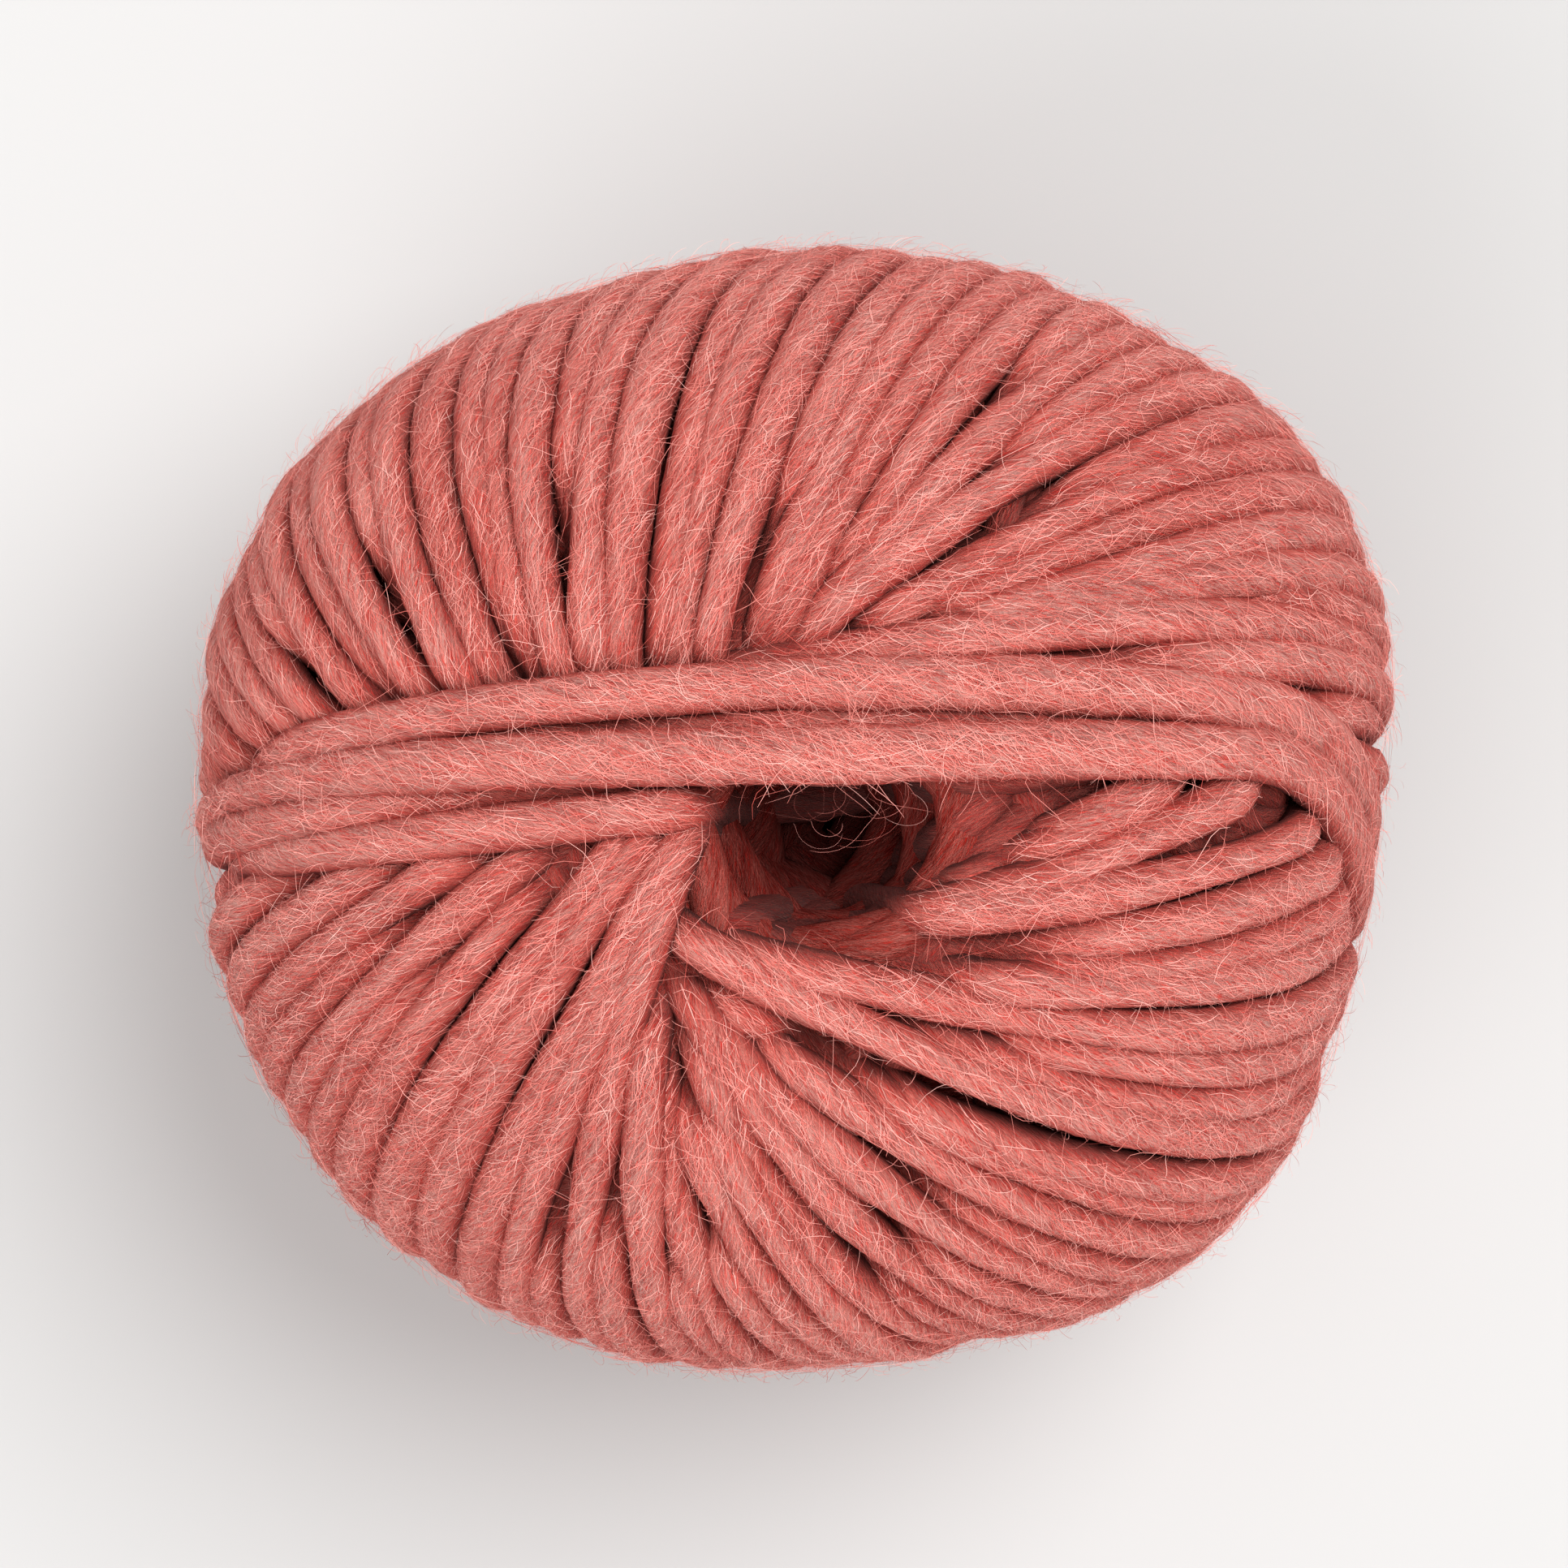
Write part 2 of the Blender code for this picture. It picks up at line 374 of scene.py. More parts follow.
def fibonacci_directions(count):
    """Evenly spread unit directions."""
    index = np.arange(count) + 0.5
    height = 1 - 2 * index / count
    azimuth = math.pi * (1 + math.sqrt(5)) * index
    across = np.sqrt(1 - height**2)
    return np.stack([across * np.cos(azimuth), across * np.sin(azimuth), height], axis=1)


# ---------------------------------------------------------------------------- the outer form
def base_radius(directions):
    """Distance from the ball's centre to its smooth outer form, cut by the floor."""
    x, y, z = directions.T
    azimuth = np.arctan2(y, x)
    across = np.hypot(x, y)
    reach = 1 / np.hypot(np.cos(azimuth) / HALF_X, np.sin(azimuth) / HALF_Y)
    for wave in OUTLINE:
        reach = reach + wave.height * np.cos(wave.count * (azimuth - wave.crest))
    rise = np.where(z > 0, UPPER_HALF, LOWER_HALF)
    radius = ((across / reach) ** FULLNESS + (np.abs(z) / rise) ** FULLNESS) ** (-1 / FULLNESS)
    to_floor = CENTRE[2] / np.maximum(-z, 1e-6)
    return np.minimum(radius, np.where(z < 0, to_floor, np.inf))


def base_point(directions):
    return CENTRE + directions * base_radius(directions)[:, None]


def base_normal(directions):
    """Outward normal of the smooth outer form, from two short steps along it."""
    step = 0.02
    helper = np.where(np.abs(directions[:, 2:]) < 0.9, [[0.0, 0.0, 1.0]], [[1.0, 0.0, 0.0]])
    first = unit(np.cross(helper, directions))
    second = np.cross(directions, first)
    slopes = [
        base_point(unit(directions + step * side)) - base_point(unit(directions - step * side))
        for side in (first, second)
    ]
    return unit(np.cross(*slopes))


def depth_below(points):
    """How far points lie inside the ball's smooth outer form."""
    reach = points - CENTRE
    return base_radius(unit(reach)) - np.linalg.norm(reach, axis=1)


# ---------------------------------------------------------------------------- winding
class Strand:
    """A strand's middle line and frame, sample by sample, with its section's half width and height."""

    def __init__(self, line, normal, half_width, half_height, start=0.0):
        self.line = line
        self.half_width = half_width
        self.half_height = half_height
        self.heading = unit(np.gradient(line, axis=0))
        self.side = unit(np.cross(normal, self.heading))
        self.normal = np.cross(self.heading, self.side)
        steps = np.linalg.norm(np.diff(line, axis=0), axis=1)
        self.along = start + np.concatenate([[0.0], np.cumsum(steps)])

    def lean(self, angle):
        """Rolls the section about the middle line."""
        cosine, sine = np.cos(angle)[:, None], np.sin(angle)[:, None]
        side, normal = self.side, self.normal
        self.side = side * cosine + normal * sine
        self.normal = normal * cosine - side * sine

    def at(self, place):
        """Line, side, normal, half width and height at fractional samples."""
        low = np.clip(np.floor(place).astype(int), 0, len(self.line) - 2)
        share = np.clip(place - low, 0, 1)
        rows = []
        for values in (self.line, self.side, self.normal, self.half_width, self.half_height):
            weight = share.reshape(share.shape + (1,) * (values.ndim - 1))
            rows.append(values[low] * (1 - weight) + values[low + 1] * weight)
        return rows


# One row for each pair of a sample of the strand and a point of the outer form that it lies on. Sideways
# is the point's place across the strand, from -1 to 1. Covered says if any later stretch of the strand
# lies over the point, and crossed if it is one that lies across this one, not beside it.
Spots = namedtuple("Spots", "sample sideways covered crossed")


def turn_table():
    """A row of Turn for every turn, in the order wound."""
    phases = LAST_FAN_PHASE + PHASE_STEP * np.arange(FAN_TURNS)[::-1]
    fan = Turn(
        phase=phases + rng.normal(0, PHASE_SCATTER, FAN_TURNS),
        distance=np.interp(phases, *zip(*PASSES))
        + rng.normal(0, 1, FAN_TURNS) * np.interp(phases, *zip(*DISTANCE_SCATTER)),
        left_drift=np.zeros(FAN_TURNS),
        right_drift=np.zeros(FAN_TURNS),
        width=1 + rng.normal(0, WIDTH_SCATTER, FAN_TURNS),
        lift=rng.normal(0, LIFT_SCATTER, FAN_TURNS),
    )
    return np.concatenate([np.stack(fan, axis=1), np.array(LAST_TURNS)])


def loop_directions(phase, distance, angle):
    """Directions from the centre along tilted loops; angle is 0 on the crown, half a turn below."""
    tilt = np.arctan2(distance, UPPER_HALF) + 0 * phase
    heading = np.stack([np.cos(phase), np.sin(phase), 0 * phase], axis=1)
    middle = np.stack(
        [-np.sin(phase) * np.sin(tilt), np.cos(phase) * np.sin(tilt), np.cos(tilt)], axis=1
    )
    return middle * np.cos(angle)[:, None] + heading * np.sin(angle)[:, None]


def strand_path(position, turns):
    """Directions from the centre, lift and width of the strand at each position, in turns."""
    row = Turn(*(np.interp(position, np.arange(len(turns)), column) for column in turns.T))
    angle = 2 * math.pi * (position - np.round(position))
    rim = np.abs(angle)
    slip = smooth_step((rim - SLIP_START) / SLIP_RISE) * smooth_step((SLIP_END - rim) / SLIP_FALL)
    drift = np.where(angle > 0, row.right_drift, row.left_drift)
    directions = loop_directions(np.radians(row.phase), row.distance, angle)
    directions = turned_about_z(directions, np.radians(drift) * slip)
    return directions, row.lift * smooth_step(CROWN_REACH - rim), row.width


def crowding(strand, turn):
    """How far (0 to 1) a sample is squeezed down, and the share of its width that it has room for.

    Where the turns crowd together, every second one goes under first, then every second of those left.
    """
    ahead = np.roll(strand.line, -SAMPLES_PER_TURN, axis=0) - strand.line
    aside = ahead - strand.heading * (ahead * strand.heading).sum(1)[:, None]
    spacing = even_out(np.linalg.norm(aside, axis=1), CROWDING_REACH)
    ranks = range(PINCH_RANKS)
    rank = np.select([turn % (2 * 2**rank) == 2**rank for rank in ranks], ranks, PINCH_RANKS)
    in_fan = turn < FAN_TURNS - 1
    squeeze = PINCH_START - PINCH_END
    pinch = smooth_step((PINCH_START - spacing * 2.0**rank) / squeeze) * in_fan
    room = 0.5 * (spacing + np.roll(spacing, SAMPLES_PER_TURN))
    for _ in ranks:
        room = room * (1 + smooth_step((PINCH_START - room) / squeeze))
    fit = np.clip(ROOM_SHARE * room / strand.half_width, NARROWEST, WIDEST)
    return pinch, even_out(np.where(in_fan, fit, 1), CROWDING_REACH)


def footprints(surface, line, half_width):
    """(surface point, sample) of every surface point that lies under the strand."""
    tree = kdtree.KDTree(len(surface))
    for index, point in enumerate(surface):
        tree.insert(point, index)
    tree.balance()
    points, samples = [], []
    for sample, (centre, reach) in enumerate(zip(line, half_width)):
        found = [index for _, index, _ in tree.find_range(centre, reach)]
        points += found
        samples += [sample] * len(found)
    return np.array(points), np.array(samples)


def spots_under(strand, pinch, in_fan):
    """The Spots of the strand, laid on the outer form."""
    surface = base_point(fibonacci_directions(SURFACE_POINTS))
    points, sample = footprints(surface, strand.line, strand.half_width)
    latest = np.zeros(SURFACE_POINTS, int)
    on_top = pinch[sample] < COVERING_PINCH
    np.maximum.at(latest, points[on_top], sample[on_top])
    beside = np.where(in_fan, NEIGHBOURS, LAST_NEIGHBOURS) * SAMPLES_PER_TURN
    aside = ((surface[points] - strand.line[sample]) * strand.side[sample]).sum(1)
    return Spots(
        sample,
        sideways=aside / strand.half_width[sample],
        covered=latest[points] > sample + COVER_LAG,
        crossed=latest[points] > sample + beside[sample],
    )


def dips(spots, pinch, in_fan):
    """How far each sample goes down and leans, and if it is too deep to be kept."""
    count = len(pinch)

    def share(chosen, among):
        """For each sample, the share of its spots among these that are chosen."""
        samples = spots.sample[among]
        total = np.bincount(samples, minlength=count)
        return np.bincount(samples, chosen[among], count) / np.maximum(total, 1)

    middle = np.abs(spots.sideways) < MIDDLE_SHARE
    over_left = share(spots.covered, spots.sideways > EDGE_SHARE)
    over_right = share(spots.covered, spots.sideways < -EDGE_SHARE)
    dive = np.where(in_fan, DIVE, LAST_DIVE)
    depth = dive * smooth_step(DIVE_GAIN * share(spots.crossed, middle))
    depth = without_short_rises(depth, SHORT_RISE)
    shown_share = share(~spots.covered, slice(None))
    buried = (depth > BURIED_DEPTH) & (shown_share < BURIED_SHARE)
    depth = np.maximum(depth, PINCH_DEPTH * pinch) + TUCK * share(spots.covered, middle)
    lean = even_out(LEAN * (over_right - over_left), DIVE_REACH)
    return even_out(depth, DIVE_REACH), lean, buried


def fall_into_hole(line, falls):
    """How far each sample goes down into the pull hole."""
    gap = np.linalg.norm(line[:, :2] - HOLE_CENTRE, axis=1)
    share = smooth_step((HOLE_RIM - gap) / HOLE_LIP) * (line[:, 2] > CENTRE[2]) * falls
    return even_out(FUNNEL * share, DIVE_REACH)


def wind():
    """The strand, the samples of it that show, and (samples, sideways places) where fibres grow."""
    turns = turn_table()
    count = len(turns) * SAMPLES_PER_TURN
    position = (np.arange(count) + 0.5) / SAMPLES_PER_TURN - 0.5
    turn = np.round(position).astype(int)
    in_fan = turn < FAN_TURNS
    directions, lift, width = strand_path(position, turns)
    swell = np.ones(count)
    for wave in SWELLS:
        swell += random_wave(count, wave)
    half_height = STRAND_HALF_HEIGHT * width * swell
    line = base_point(directions)
    normal = base_normal(directions)

    flat = Strand(line, normal, STRAND_HALF_WIDTH * width * swell, half_height)
    pinch, fit = crowding(flat, turn)
    flat.half_width = flat.half_width * fit
    spots = spots_under(flat, pinch, in_fan)
    depth, lean, buried = dips(spots, pinch, in_fan)
    depth += fall_into_hole(line, turn < len(turns) - BRIDGING_TURNS)
    height = lift - half_height - depth + random_wave(count, UNEVENNESS)
    laid = line + normal * height[:, None]
    laid[:, 2] = np.maximum(laid[:, 2], REST_SHARE * half_height)
    strand = Strand(laid, normal, flat.half_width, half_height)
    strand.lean(lean)

    shows = ~spots.covered & ~buried[spots.sample]
    hairy = shows & (depth[spots.sample] < HAIRY_DEPTH)
    return strand, spots.sample[shows], (spots.sample[hairy], spots.sideways[hairy])


def shown_runs(samples, count):
    """(first, last) of each stretch of the strand that shows, with a little more at each end."""
    shows = np.bincount(samples, minlength=count) > 0
    widened = np.convolve(shows, np.ones(2 * RUN_MARGIN + 1), mode="same") > 0
    edges = np.flatnonzero(np.diff(np.concatenate([[0], widened.astype(int), [0]])))
    return [(first, last) for first, last in edges.reshape(-1, 2) if last - first > SHORTEST_RUN]


def inner_turn(layer, turn, start):
    """One of the short stretches in the pull hole; start is its place along the fibre pattern."""
    scatter = rng.normal(0, INNER_PHASE_SCATTER)
    phase = np.radians(layer.first_phase + 360 * turn / layer.turns + scatter)
    distance = layer.distance + rng.normal(0, INNER_DISTANCE_SCATTER)
    angle = np.linspace(-INNER_SPAN, INNER_SPAN, 2 * INNER_REACH)
    directions = loop_directions(np.full(len(angle), phase), distance, angle)
    shrink = 1 - layer.depth / UPPER_HALF
    line = CENTRE + (base_point(directions) - CENTRE) * shrink
    shift = 1 - smooth_step(np.abs(angle) / INNER_SHIFT_SPAN)
    line[:, :2] += HOLE_CENTRE * shift[:, None]
    line += rng.normal(0, INNER_PLACE_SCATTER, 3)
    size = np.full(len(angle), 1 + rng.normal(0, INNER_SIZE_SCATTER))
    normal = base_normal(directions)
    return Strand(line, normal, STRAND_HALF_WIDTH * size, STRAND_HALF_HEIGHT * size, start)


def inner_turns(start):
    """Short stretches of the turns that line the pull hole, deeper and deeper."""
    strands = []
    for layer in INNER_LAYERS:
        for turn in range(layer.turns):
            strands.append(inner_turn(layer, turn, start + INNER_FIBRE_STEP * len(strands)))
    return strands


# ---------------------------------------------------------------------------- meshes
def build_mesh(name, points, faces, material, tone_or_painted_shade, uv=None):
    """A mesh object from points in millimetres and faces of equal length."""
    data = bpy.data.meshes.new(name)
    corners = faces.shape[1]
    data.vertices.add(len(points))
    data.vertices.foreach_set("co", (points * MM).astype(np.float32).ravel())
    data.loops.add(faces.size)
    data.loops.foreach_set("vertex_index", faces.astype(np.int32).ravel())
    data.polygons.add(len(faces))
    data.polygons.foreach_set("loop_start", np.arange(0, faces.size, corners, dtype=np.int32))
    data.polygons.foreach_set("use_smooth", np.full(len(faces), True))
    data.update(calc_edges=True)
    data.validate()
    if uv is not None:
        layer = data.uv_layers.new(name="Fibre")
        layer.data.foreach_set("uv", uv.astype(np.float32).ravel())
    # per point: a loose fibre's own tone, or for the wool a depth that the material turns into painted
    # shade
    attribute = data.attributes.new("tone_or_painted_shade", "FLOAT", "POINT")
    attribute.data.foreach_set("value", tone_or_painted_shade.astype(np.float32))
    data.materials.append(material)
    piece = bpy.data.objects.new(name, data)
    bpy.context.scene.collection.objects.link(piece)
    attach(piece, "root")
    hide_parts("yarn_ball")


def grid_faces(rows, columns):
    """The quads of a grid whose columns close on themselves, and the row and column of each corner."""
    row, column = np.meshgrid(np.arange(rows - 1), np.arange(columns), indexing="ij")
    down = np.stack([row, row + 1, row + 1, row], axis=-1)
    along = np.stack([column, column, column + 1, column + 1], axis=-1)
    return (down * columns + along % columns).reshape(-1, 4), down, along


def section_angles():
    even = np.linspace(-math.pi, math.pi, SIDES + 1)
    return even - TOP_BIAS * np.sin(even)


def bundle_relief(around, along, radius):
    """Soft ridges that follow the twisted fibres, each with its own start and its own swelling."""
    twisted = around + along * math.tan(FIBRE_ANGLE) / radius
    relief = np.ones_like(twisted)
    for ridges, height in BUNDLES:
        fade = BUNDLE_FADE * np.sin(along / (BUNDLE_FADE_LENGTH + ridges) + 2.0 * ridges)
        wander = along / BUNDLE_WANDER_LENGTH
        relief += height * (1 + fade) * np.cos(ridges * twisted + 1.3 * ridges + wander)
    return relief


def fibre_pattern(around, along, radius):
    """Coordinates along and across the fibres, unrolled from the strand."""
    turn = around * radius
    run = along * math.cos(FIBRE_ANGLE) - turn * math.sin(FIBRE_ANGLE)
    rise = along * math.sin(FIBRE_ANGLE) + turn * math.cos(FIBRE_ANGLE)
    return np.stack([run, rise], axis=-1)


def tube(strand, first, last):
    """Points, quads, fibre UVs and depths in the wool of the stretch of strand between two samples."""
    rows = slice(first, last)
    count = last - first
    along = np.repeat(strand.along[rows, None], SIDES + 1, axis=1)
    around = np.repeat(section_angles()[None], count, axis=0)
    radius = strand.half_width[rows, None]
    relief = bundle_relief(around, along, radius)
    to_end = np.minimum(np.arange(count), np.arange(count)[::-1])
    taper = np.sqrt(np.clip((to_end + TAPER_START) / TAPER_REACH, TAPER_LEAST, 1))
    sink = END_SINK * smooth_step(1 - to_end / END_REACH)
    wide = (strand.half_width[rows] * taper)[:, None] * relief * np.sin(around)
    high = (strand.half_height[rows] * taper)[:, None] * relief * np.cos(around)
    points = (
        (strand.line[rows] - sink[:, None] * strand.normal[rows])[:, None]
        + wide[..., None] * strand.side[rows, None]
        + high[..., None] * strand.normal[rows, None]
    )
    points = points[:, :SIDES].reshape(-1, 3)
    points[:, 2] = np.maximum(points[:, 2], FLOOR_GAP)
    # painted shade: the sides of the strand count deeper in the wool than its top, so the material paints
    # them darker
    from_top = 1 - np.cos(around[:, :SIDES].ravel())
    depth = depth_below(points) + SIDE_SHADE_DEPTH * from_top**SIDE_SHADE_POWER
    quads, row, column = grid_faces(count, SIDES)
    uv = fibre_pattern(around, along, radius)[row, column].reshape(-1, 2)
    return points, quads, uv, depth


def joined(parts):
    """Several tubes as one."""
    offset, shifted = 0, []
    for points, quads, uv, depth in parts:
        shifted.append((points, quads + offset, uv, depth))
        offset += len(points)
    return [np.concatenate(column) for column in zip(*shifted)]


def make_turns(strand, runs, material):
    """The strand as a few pieces, in the order wound."""
    pieces = len(TURN_PIECES)
    total = sum(last - first for first, last in runs)
    groups, done = [[] for _ in TURN_PIECES], 0
    for first, last in runs:
        groups[min(pieces - 1, done * pieces // total)].append(tube(strand, first, last))
        done += last - first
    for name, group in zip(TURN_PIECES, groups):
        points, quads, uv, depth = joined(group)
        build_mesh(name, points, quads, material, depth, uv)


def make_inner_turns(start, material):
    tubes = [tube(strand, 0, len(strand.line)) for strand in inner_turns(start)]
    points, quads, uv, depth = joined(tubes)
    build_mesh("inner_turns", points, quads, material, depth, uv)


def make_core(material):
    """Plain wool under the turns, dipping into the pull hole."""
    polar = np.linspace(POLE_GAP, math.pi - POLE_GAP, CORE_RINGS)
    azimuth = np.linspace(0, 2 * math.pi, CORE_STEPS, endpoint=False)
    polar, azimuth = (grid.ravel() for grid in np.meshgrid(polar, azimuth, indexing="ij"))
    across = np.sin(polar)
    directions = np.stack([across * np.cos(azimuth), across * np.sin(azimuth), np.cos(polar)], axis=1)
    surface = base_point(directions)
    gap = np.linalg.norm(surface[:, :2] - HOLE_CENTRE, axis=1)
    slope = smooth_step((gap / WELL_RADIUS - WELL_FLAT) / (1 - WELL_FLAT))
    well = np.where(surface[:, 2] > CENTRE[2], 1 - slope, 0)
    points = surface - base_normal(directions) * CORE_DEPTH
    points = CENTRE + (points - CENTRE) * (1 - well * WELL_DEPTH / UPPER_HALF)[:, None]
    points[:, 2] = np.maximum(points[:, 2], CORE_FLOOR_GAP)
    quads, row, column = grid_faces(CORE_RINGS, CORE_STEPS)
    uv = np.stack([column, row], axis=-1).reshape(-1, 2) * CORE_CELL
    # its depth in the wool becomes painted shade in the material
    build_mesh("core", points, quads, material, depth_below(points), uv)


# ---------------------------------------------------------------------------- loose fibres
def fibre_count(kind):
    return int(kind.count * (1))


def root_angle(sideways):
    """The angle round the strand of a place across it."""
    return np.arcsin(np.clip(sideways * ROOT_SHARE, -1, 1))


def surface_spots(strand, place, around, hover):
    """Points on the strand at fractional samples and angles round it, and the outward directions."""
    line, side, normal, half_width, half_height = strand.at(place)
    sine, cosine = np.sin(around)[..., None], np.cos(around)[..., None]
    hover = np.asarray(hover)[..., None]
    wide = (half_width[..., None] + hover) * sine
    high = (half_height[..., None] + hover) * cosine
    outward = unit(side * sine + normal * cosine)
    return line + wide * side + high * normal, outward


def following_fibres(strand, spots, kind):
    """Fibres that run round the strand with its twist, rising towards their ends."""
    samples, sideways = spots
    count = fibre_count(kind)
    roots = rng.integers(len(samples), size=count)
    length = rng.uniform(kind.shortest, kind.longest, count)[:, None]
    slant = FIBRE_ANGLE + np.radians(rng.normal(0, kind.spread, count))[:, None]
    bend = np.radians(rng.normal(0, FOLLOWING_BEND, count))[:, None]
    share = np.linspace(-0.5, 0.5, kind.rows)[None]
    slants = slant + bend * 2 * share
    spacing = np.gradient(strand.along)[samples[roots]][:, None]
    place = samples[roots][:, None] + length * share * np.cos(slants) / spacing
    start = root_angle(sideways[roots])[:, None]
    around = start - length * share * np.sin(slants) / STRAND_HALF_WIDTH
    hover = kind.hover * rng.uniform(*HOVER_RANGE, count)[:, None]
    rise = kind.rise * np.abs(2 * share) ** 2 * rng.uniform(0, 1, count)[:, None] ** 2
    points, outward = surface_spots(strand, place, around, hover + rise)
    return points, outward, kind.width


def free_fibres(strand, spots, kind):
    """Curly fibres in any direction, which spring from the wool and bow away from it."""
    samples, sideways = spots
    count = fibre_count(kind)
    chosen = rng.integers(len(samples), size=count)
    start = root_angle(sideways[chosen])
    place = samples[chosen] + rng.uniform(0, 1, count)
    roots, outward = surface_spots(strand, place, start, 0 * start)
    heading = strand.heading[samples[chosen]]
    across = unit(np.cross(outward, heading))
    slant = -FIBRE_ANGLE + np.radians(rng.uniform(-kind.spread, kind.spread, count))
    along = heading * np.cos(slant)[:, None] + across * np.sin(slant)[:, None]
    across = unit(np.cross(outward, along))
    length = rng.uniform(kind.shortest, kind.longest, count)
    share = np.linspace(0, 1, kind.rows)
    lifts = rng.uniform(*LIFT_RANGE, count) * kind.rise
    curls = rng.normal(0, kind.curl, count)
    first = rng.uniform(0, 2 * math.pi, count)[:, None]
    curled = curls[:, None] * (np.sin(CURL_WAVE * share + first) - np.sin(first))
    points = (
        roots[:, None]
        + along[:, None] * (length[:, None] * share)[..., None]
        + across[:, None] * curled[..., None]
    )
    bow = kind.hover + lifts[:, None] * np.sin(0.5 * math.pi * share**LIFT_POWER)
    return bowed(points, roots, bow, kind)


def bowed(points, roots, bow, kind):
    """Flat fibres bent round the ball, as far above it as their roots and their bow say."""
    directions = unit(points - CENTRE)
    grown = base_radius(directions.reshape(-1, 3)).reshape(directions.shape[:2])
    gap = np.linalg.norm(roots - CENTRE, axis=1) - base_radius(unit(roots - CENTRE))
    share = np.linspace(0, 1, kind.rows)
    radius = grown + gap[:, None] * (1 - ROOT_GAP_LOSS * share) + bow
    return CENTRE + directions * radius[..., None], directions, kind.width


def drawn(limits):
    """A column of random values between the limits, one for each fibre across the hole."""
    return rng.uniform(*limits, HOLE_CURLS)[:, None]


def hole_curls():
    """Long thin fibres that arch across the pull hole."""
    share = np.linspace(0, 1, HOLE_CURL_ROWS)[None]
    span = drawn(HOLE_CURL_SPAN)
    first = drawn(HOLE_CURL_START)
    bend = drawn(HOLE_CURL_BEND)
    radius = drawn(HOLE_CURL_RADIUS) * (1 + bend * np.sin(CURL_WAVE * share + first))
    angle = first + span * (share - 0.5)
    x = HOLE_CENTRE[0] + drawn(HOLE_CURL_X) + radius * np.cos(angle)
    y = HOLE_CENTRE[1] + drawn(HOLE_CURL_Y) + HOLE_CURL_SQUASH * radius * np.sin(angle)
    z = HIGH[2] - drawn(HOLE_CURL_DROP) + HOLE_CURL_RIPPLE * np.sin(3 * share + first)
    points = np.stack([x, y, z], axis=-1)
    return points, np.broadcast_to([0.0, 0.0, 1.0], points.shape), HOLE_CURL_WIDTH


def fibre_quads(count, rows, sides):
    """The faces of ribbons, which have a single row of them, or of tubes."""
    index = np.arange(count * rows * sides).reshape(count, rows, sides)
    near, far = index[:, :-1], index[:, 1:]
    quads = []
    for side in range(1 if sides == RIBBON_SIDES else sides):
        after = (side + 1) % sides
        corners = [near[..., side], far[..., side], far[..., after], near[..., after]]
        quads.append(np.stack(corners, axis=-1).reshape(-1, 4))
    return np.concatenate(quads)


def make_fibres(name, fibres, sides, material, rolled=False):
    """Ribbons or tubes along the fibres, each with a tone of its own."""
    points, outward, width = fibres
    count, rows, _ = points.shape
    heading = unit(np.gradient(points, axis=1))
    across = unit(np.cross(outward, heading))
    away = np.cross(heading, across)
    if rolled:
        roll = rng.uniform(0, math.pi, (count, 1, 1))
        cosine, sine = np.cos(roll), np.sin(roll)
        across, away = across * cosine + away * sine, away * cosine - across * sine
    to_tip = np.minimum(np.arange(rows), np.arange(rows)[::-1])
    taper = np.sqrt(np.clip(to_tip / TIP_REACH + TIP_LEAST, 0, 1))
    half = 0.5 * width * rng.uniform(*WIDTH_RANGE, count)[:, None] * taper
    corners = []
    for side in range(sides):
        turn = 2 * math.pi * side / sides + (TUBE_TURN if sides == TUBE_SIDES else 0)
        corners.append(points + half[..., None] * (across * math.cos(turn) + away * math.sin(turn)))
    corners = np.stack(corners, axis=2).reshape(-1, 3)
    corners[:, 2] = np.maximum(corners[:, 2], FLOOR_GAP)
    tone_or_painted_shade = np.clip(rng.normal(TONE_MIDDLE, TONE_SPREAD, count), 0, 1)
    quads = fibre_quads(count, rows, sides)
    build_mesh(name, corners, quads, material, np.repeat(tone_or_painted_shade, rows * sides))


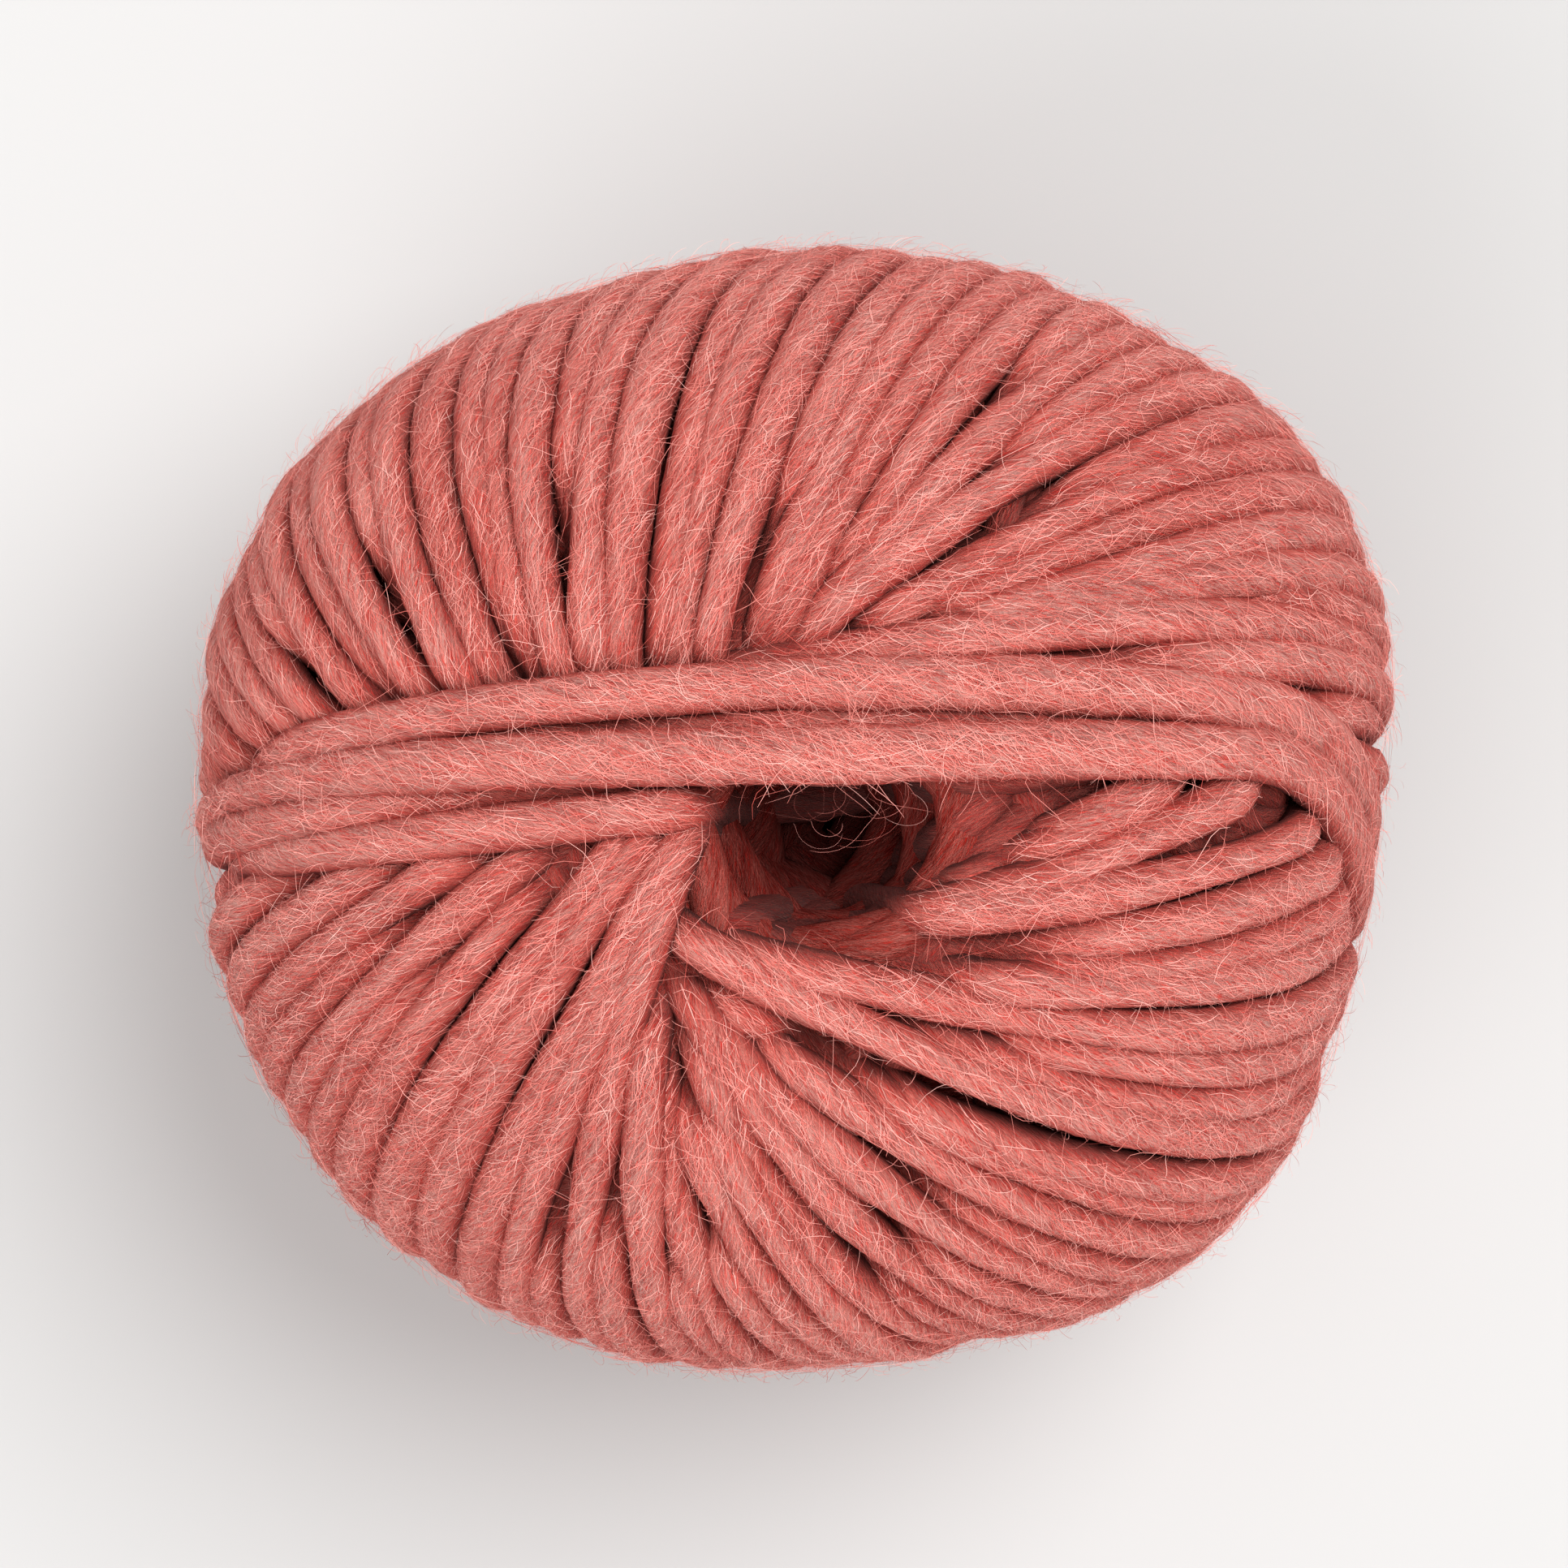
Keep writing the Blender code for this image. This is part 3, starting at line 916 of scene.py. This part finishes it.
# ---------------------------------------------------------------------------- materials
class Tree:
    """A material's node tree, with short ways to add nodes and link them."""

    def __init__(self, name):
        self.material = bpy.data.materials.new(name)
        self.material.use_nodes = True
        self.nodes = self.material.node_tree.nodes
        self.links = self.material.node_tree.links
        self.shader = self.nodes["Principled BSDF"]

    def link(self, source, target):
        self.links.new(source, target)

    def uv(self, name):
        coordinates = self.nodes.new("ShaderNodeUVMap")
        coordinates.uv_map = name
        return coordinates.outputs[0]

    def object_place(self):
        return self.nodes.new("ShaderNodeTexCoord").outputs["Object"]

    def attribute(self, name):
        attribute = self.nodes.new("ShaderNodeAttribute")
        attribute.attribute_name = name
        return attribute.outputs["Fac"]

    def turned(self, source, angle):
        turn = self.nodes.new("ShaderNodeVectorRotate")
        turn.rotation_type = "Z_AXIS"
        turn.inputs["Angle"].default_value = angle
        self.link(source, turn.inputs["Vector"])
        return turn.outputs[0]

    def stretched(self, source, along, across):
        """Coordinates scaled along and across the fibres."""
        scale = self.nodes.new("ShaderNodeVectorMath")
        scale.operation = "MULTIPLY"
        scale.inputs[1].default_value = (along, across, 1)
        self.link(source, scale.inputs[0])
        return scale.outputs[0]

    def noise(self, source, scale=1.0, detail=3.0, roughness=0.6, distortion=0.0):
        texture = self.nodes.new("ShaderNodeTexNoise")
        texture.inputs["Scale"].default_value = scale
        texture.inputs["Detail"].default_value = detail
        texture.inputs["Roughness"].default_value = roughness
        texture.inputs["Distortion"].default_value = distortion
        self.link(source, texture.inputs["Vector"])
        return texture.outputs["Fac"]

    def lines(self, source, sharpness):
        """Thin lines, worth 1, where a noise crosses its middle value, and 0 between them."""
        gap = self.nodes.new("ShaderNodeMath")
        gap.operation = "SUBTRACT"
        gap.inputs[1].default_value = 0.5
        self.link(source, gap.inputs[0])
        size = self.nodes.new("ShaderNodeMath")
        size.operation = "ABSOLUTE"
        self.link(gap.outputs[0], size.inputs[0])
        line = self.nodes.new("ShaderNodeMath")
        line.operation = "MULTIPLY_ADD"
        line.use_clamp = True
        line.inputs[1].default_value = -sharpness
        line.inputs[2].default_value = 1.0
        self.link(size.outputs[0], line.inputs[0])
        return line.outputs[0]

    def weighted(self, outputs, weights):
        """The sum of the outputs, each times its weight."""
        total = None
        for output, weight in zip(outputs, weights):
            term = self.nodes.new("ShaderNodeMath")
            term.operation = "MULTIPLY_ADD"
            term.inputs[1].default_value = weight
            term.inputs[2].default_value = 0.0
            self.link(output, term.inputs[0])
            if total is not None:
                self.link(total, term.inputs[2])
            total = term.outputs[0]
        return total

    def ramp(self, source, stops):
        ramp = self.nodes.new("ShaderNodeValToRGB")
        elements = ramp.color_ramp.elements
        while len(elements) < len(stops):
            elements.new(0.5)
        for element, (place, colour) in zip(elements, stops):
            element.position = place
            element.color = colour
        self.link(source, ramp.inputs["Fac"])
        return ramp.outputs["Color"]

    def mixed(self, share, first, second):
        """From the first output to the second colour, as the share says."""
        mix = self.nodes.new("ShaderNodeMix")
        mix.data_type = "RGBA"
        mix.clamp_factor = True
        self.link(share, mix.inputs["Factor"])
        self.link(first, mix.inputs[6])
        mix.inputs[7].default_value = second
        return mix.outputs[2]

    def product(self, first, second):
        mix = self.nodes.new("ShaderNodeMix")
        mix.data_type = "RGBA"
        mix.blend_type = "MULTIPLY"
        mix.inputs["Factor"].default_value = 1.0
        self.link(first, mix.inputs[6])
        self.link(second, mix.inputs[7])
        return mix.outputs[2]

    def bump(self, height, distance):
        bump = self.nodes.new("ShaderNodeBump")
        bump.inputs["Strength"].default_value = 1.0
        bump.inputs["Distance"].default_value = distance
        self.link(height, bump.inputs["Height"])
        self.link(bump.outputs["Normal"], self.shader.inputs["Normal"])

    def finish(self, colour, roughness, sheen, specular):
        self.link(colour, self.shader.inputs["Base Color"])
        self.shader.inputs["Roughness"].default_value = roughness
        self.shader.inputs["Specular IOR Level"].default_value = specular
        self.shader.inputs["Sheen Weight"].default_value = sheen
        self.shader.inputs["Sheen Roughness"].default_value = SHEEN_ROUGHNESS
        self.shader.inputs["Sheen Tint"].default_value = SHEEN_TINT
        return self.material


def hair_lines(tree, uv):
    """Crossing layers of thin lines, like single pale hairs, added up."""
    layers = []
    for angle, along, across in HAIR_LAYERS:
        grain = tree.stretched(tree.turned(uv, angle), along, across)
        layers.append(tree.lines(tree.noise(grain, detail=1.5, distortion=0.5), HAIR_SHARPNESS))
    return tree.weighted(layers, [HAIR_WEIGHT] * len(layers))


def strand_material(name, painted_shade_depth, painted_shade_stops, sheen, specular):
    """Heathered wool: streaks along the twisted fibres in three shades, raised a little, and darkened with
    its depth in the wool as painted shade.
    """
    tree = Tree(name)
    uv = tree.uv("Fibre")
    streaks = tree.noise(tree.stretched(uv, *STREAK_SCALE), detail=4.0, roughness=0.7)
    locks = tree.noise(tree.stretched(uv, *LOCK_SCALE), detail=3.0, distortion=0.3)
    fine = tree.noise(tree.stretched(uv, *FINE_SCALE), detail=3.0, roughness=0.6)
    cloud = tree.noise(tree.object_place(), scale=CLOUD_SCALE, detail=2.0)
    hairs = hair_lines(tree, uv)
    heather = tree.ramp(tree.weighted((streaks, locks, cloud), HEATHER_MIX), WOOL_STOPS)
    # painted shade: darker and redder with the depth in the wool
    painted_shade = tree.ramp(tree.weighted((tree.attribute("tone_or_painted_shade"),), (1 / painted_shade_depth,)), painted_shade_stops)
    tree.bump(tree.weighted((streaks, fine, hairs), BUMP_MIX), BUMP_HEIGHT)
    colour = tree.product(tree.mixed(hairs, heather, HAIR_TINT), painted_shade)
    return tree.finish(colour, WOOL_ROUGHNESS, sheen, specular)


def fibre_material():
    """Single loose fibres, each with its own tone from deep to pale."""
    tree = Tree("loose_fibres")
    colour = tree.ramp(tree.attribute("tone_or_painted_shade"), FIBRE_STOPS)
    return tree.finish(colour, FIBRE_ROUGHNESS, SHEEN, SPECULAR)


# ---------------------------------------------------------------------------- floor, light and camera
def make_floor():
    half = FLOOR_HALF_WIDTH
    corners = [(-half, -half, 0), (half, -half, 0), (half, half, 0), (-half, half, 0)]
    data = bpy.data.meshes.new("floor")
    data.from_pydata(corners, [], [(0, 1, 2, 3)])
    floor = bpy.data.objects.new("floor", data)
    bpy.context.scene.collection.objects.link(floor)
    material = bpy.data.materials.new("floor")
    material.use_nodes = True
    shader = material.node_tree.nodes["Principled BSDF"]
    shader.inputs["Base Color"].default_value = FLOOR_COLOUR
    shader.inputs["Roughness"].default_value = FLOOR_ROUGHNESS
    shader.inputs["Specular IOR Level"].default_value = FLOOR_SPECULAR
    data.materials.append(material)


def make_light():
    """Two broad soft lights and a pale sky."""
    for light in LIGHTS:
        data = bpy.data.lights.new(light.name, "SUN")
        data.energy = light.strength
        data.angle = light.spread
        lamp = bpy.data.objects.new(light.name, data)
        lamp.rotation_euler = Vector(light.direction).to_track_quat("Z", "Y").to_euler()
        bpy.context.scene.collection.objects.link(lamp)
    world = bpy.data.worlds.new("studio")
    world.use_nodes = True
    background = world.node_tree.nodes["Background"]
    background.inputs["Color"].default_value = WORLD_COLOUR
    background.inputs["Strength"].default_value = WORLD_STRENGTH
    bpy.context.scene.world = world


def make_camera():
    """Straight above the ball, looking down, with +Y up in the picture."""
    data = bpy.data.cameras.new("camera")
    data.sensor_width = SENSOR_WIDTH
    data.lens = SENSOR_WIDTH * CAMERA_HEIGHT / FRAME_WIDTH
    seat = bpy.data.objects.new("camera", data)
    seat.location = (*CAMERA_PLACE, CENTRE[2] * MM + CAMERA_HEIGHT)
    bpy.context.scene.collection.objects.link(seat)
    bpy.context.scene.camera = seat
    bpy.context.scene.view_settings.view_transform = "Standard"


def main():
    strand, shown, spots = wind()
    wool = strand_material("heathered_wool", PAINTED_SHADE_DEPTH, PAINTED_SHADE_STOPS, SHEEN, SPECULAR)
    make_turns(strand, shown_runs(shown, len(strand.line)), wool)
    # painted shade: a darker copy of the wool, with less sheen and specular, for the pull hole and the
    # plain wool under the turns
    shaded_wool = strand_material(
        "shaded_wool", HOLE_PAINTED_SHADE_DEPTH, HOLE_PAINTED_SHADE_STOPS, HOLE_SHEEN, HOLE_SPECULAR
    )
    make_inner_turns(strand.along[-1], shaded_wool)
    make_core(shaded_wool)
    loose = fibre_material()
    for name, kind in (("lying_fibres", LYING_FIBRES), ("lifted_fibres", LIFTED_FIBRES)):
        make_fibres(name, following_fibres(strand, spots, kind), RIBBON_SIDES, loose)
    for name, kind in (("standing_fibres", STANDING_FIBRES), ("crossing_fibres", CROSSING_FIBRES)):
        make_fibres(name, free_fibres(strand, spots, kind), RIBBON_SIDES, loose, rolled=True)
    make_fibres("hole_fibres", hole_curls(), TUBE_SIDES, loose)
    make_floor()
    make_light()
    make_camera()


main()
